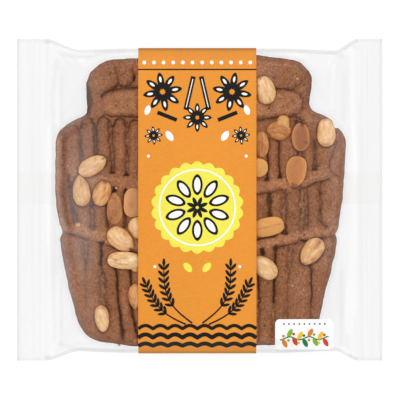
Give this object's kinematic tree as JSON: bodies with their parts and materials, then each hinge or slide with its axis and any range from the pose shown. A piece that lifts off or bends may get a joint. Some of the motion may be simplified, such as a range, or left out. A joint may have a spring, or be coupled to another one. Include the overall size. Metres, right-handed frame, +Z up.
{
  "type": "almond speculaas pack",
  "caption": "Clear flow-wrapped pack lying flat, drawn tight over a moulded spiced biscuit slab with almonds, with crimped end fins and a wide orange paper band round its middle.",
  "frame": {"origin": "on the ground under the middle of the pack's box", "axes": "+X along the pack from one end fin to the other, to the right of the shown side; +Y across it, to the shown side's top edge; +Z up out of the shown side"},
  "size_m": [0.285, 0.251, 0.0191],
  "materials": {
    "film": "gloss",
    "band_paper": "satin",
    "biscuit": "matte",
    "almond": "satin"
  },
  "bodies": {
    "root": {"bag": "film", "band": "band_paper"}
  },
  "joints": []
}
